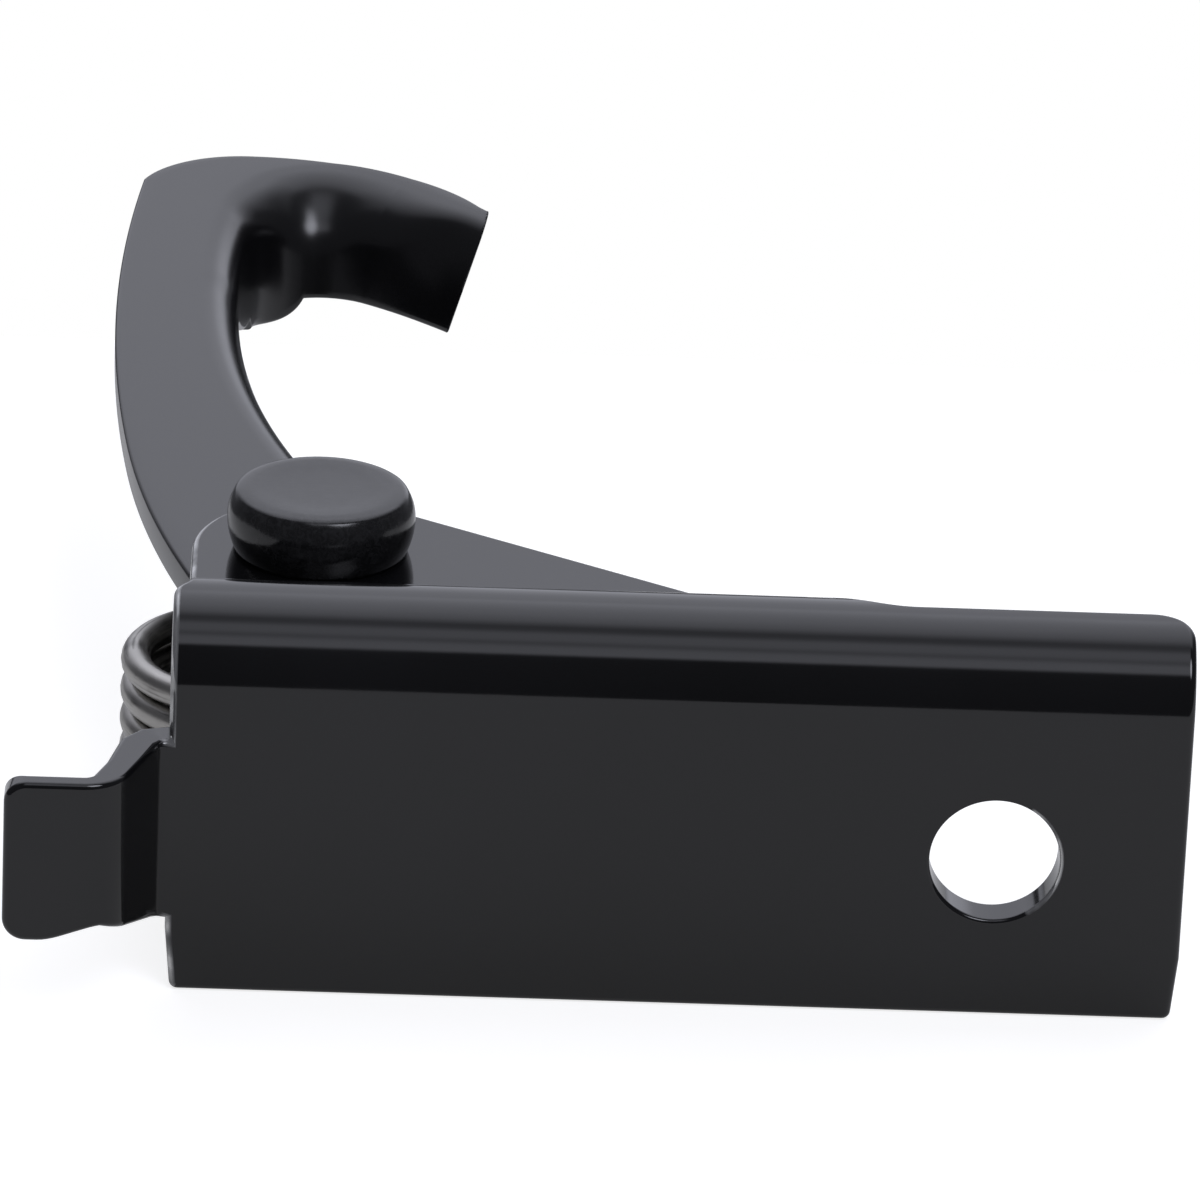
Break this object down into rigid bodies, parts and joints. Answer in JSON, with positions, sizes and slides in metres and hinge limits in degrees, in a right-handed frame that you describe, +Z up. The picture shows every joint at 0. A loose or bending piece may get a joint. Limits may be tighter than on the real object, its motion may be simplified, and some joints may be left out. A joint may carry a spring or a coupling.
{
  "type": "bonnet latch",
  "caption": "Folded sheet-metal bonnet latch bracket with a bolt hole, a stepped locating tab and a sprung safety hook that swings on a flat-headed pivot rivet.",
  "frame": {"origin": "centre of the bolt hole on the bracket's mounting face", "axes": "+X along the plate towards the bolt-hole end, +Y from the mounting face back towards the hook, +Z up along the pivot rivet"},
  "size_m": [0.0813, 0.1104, 0.0299],
  "materials": {
    "black_gloss_coat": "black gloss dip coat on pressed steel sheet",
    "dark_rivet_steel": "dark satin phosphate on headed steel",
    "spring_steel": "bare drawn spring wire, lightly oiled",
    "plated_steel": "plain zinc plate"
  },
  "bodies": {
    "bracket": {"bracket": "black_gloss_coat", "pivot_rivet": "dark_rivet_steel", "retaining_washer": "plated_steel", "return_spring": "spring_steel"},
    "hook": {"hook_lever": "black_gloss_coat"}
  },
  "joints": [
    {"name": "hook_pivot", "type": "hinge", "parent": "bracket", "child": "hook", "pos_m": [-0.0472, 0.0195, 0.00905], "axis": [0, 0, 1], "range_deg": [0, 25], "stiffness_Nm_per_rad": 0.35, "springref_deg": -34.38, "deforming": ["return_spring"]}
  ]
}
